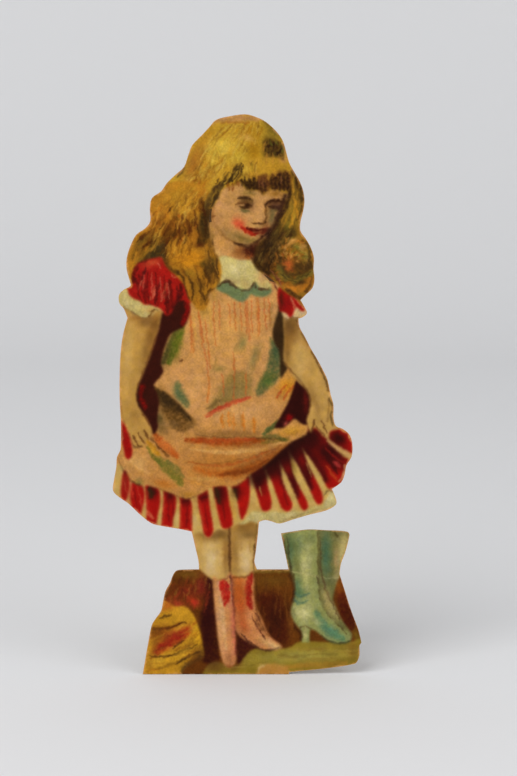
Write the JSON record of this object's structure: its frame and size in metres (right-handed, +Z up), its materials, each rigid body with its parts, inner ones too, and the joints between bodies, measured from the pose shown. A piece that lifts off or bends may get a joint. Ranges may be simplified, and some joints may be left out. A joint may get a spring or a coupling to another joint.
{
  "type": "stand-up paper doll",
  "caption": "Die-cut embossed card figure of a girl in a pinafore, standing on its foot edge and a folding easel wing behind.",
  "frame": {"origin": "middle of the card core's foot face, on the floor, at the middle of the figure's width", "axes": "+Z up, -Y towards the viewer, +X to the viewer's right"},
  "size_m": [0.0489, 0.0238, 0.1091],
  "materials": {
    "hair_print": "printed and thinly varnished",
    "skin_print": "printed and thinly varnished",
    "cream_print": "printed and thinly varnished",
    "red_print": "printed and thinly varnished",
    "maroon_print": "printed and thinly varnished",
    "pinafore_print": "printed and thinly varnished",
    "teal_print": "printed and thinly varnished",
    "stocking_print": "printed and thinly varnished",
    "shoe_print": "printed and thinly varnished",
    "boot_print": "printed and thinly varnished",
    "backdrop_print": "printed and thinly varnished",
    "ground_print": "printed and thinly varnished",
    "drape_print": "printed and thinly varnished",
    "card": "raw, worn edge",
    "lining": "matt, aged",
    "easel_board": "matt grey-brown board",
    "hinge_paper": "matt"
  },
  "bodies": {
    "figure": {"hair_crown": "hair_print", "left_hair": "hair_print", "right_hair": "hair_print", "fringe": "hair_print", "face": "skin_print", "neck": "skin_print", "left_arm": "skin_print", "right_arm": "skin_print", "collar": "cream_print", "left_frill": "cream_print", "right_frill": "cream_print", "petticoat_hem": "cream_print", "flounce": "cream_print", "left_sleeve": "red_print", "right_sleeve": "red_print", "flounce_stripes": "red_print", "sash_end": "red_print", "dress_left": "maroon_print", "dress_right": "maroon_print", "dress_gap": "maroon_print", "pinafore_bib": "pinafore_print", "pinafore_lap": "pinafore_print", "collar_trim": "teal_print", "left_leg": "stocking_print", "right_leg": "stocking_print", "left_shoe": "shoe_print", "right_shoe": "shoe_print", "front_boot": "boot_print", "rear_boot": "boot_print", "backdrop": "backdrop_print", "ground": "ground_print", "drape": "drape_print", "card_core": "card", "back_lining": "lining", "easel_pad": "easel_board", "hinge_strip_fixed": "hinge_paper"},
    "wing": {"easel_wing": "easel_board", "hinge_strip_moving": "hinge_paper"}
  },
  "joints": [
    {"name": "wing_fold", "type": "hinge", "parent": "figure", "child": "wing", "pos_m": [-0.0002, 0.00458, 0.02359], "axis": [0, 0.1392, 0.9903], "range_deg": [-90, 0]}
  ]
}
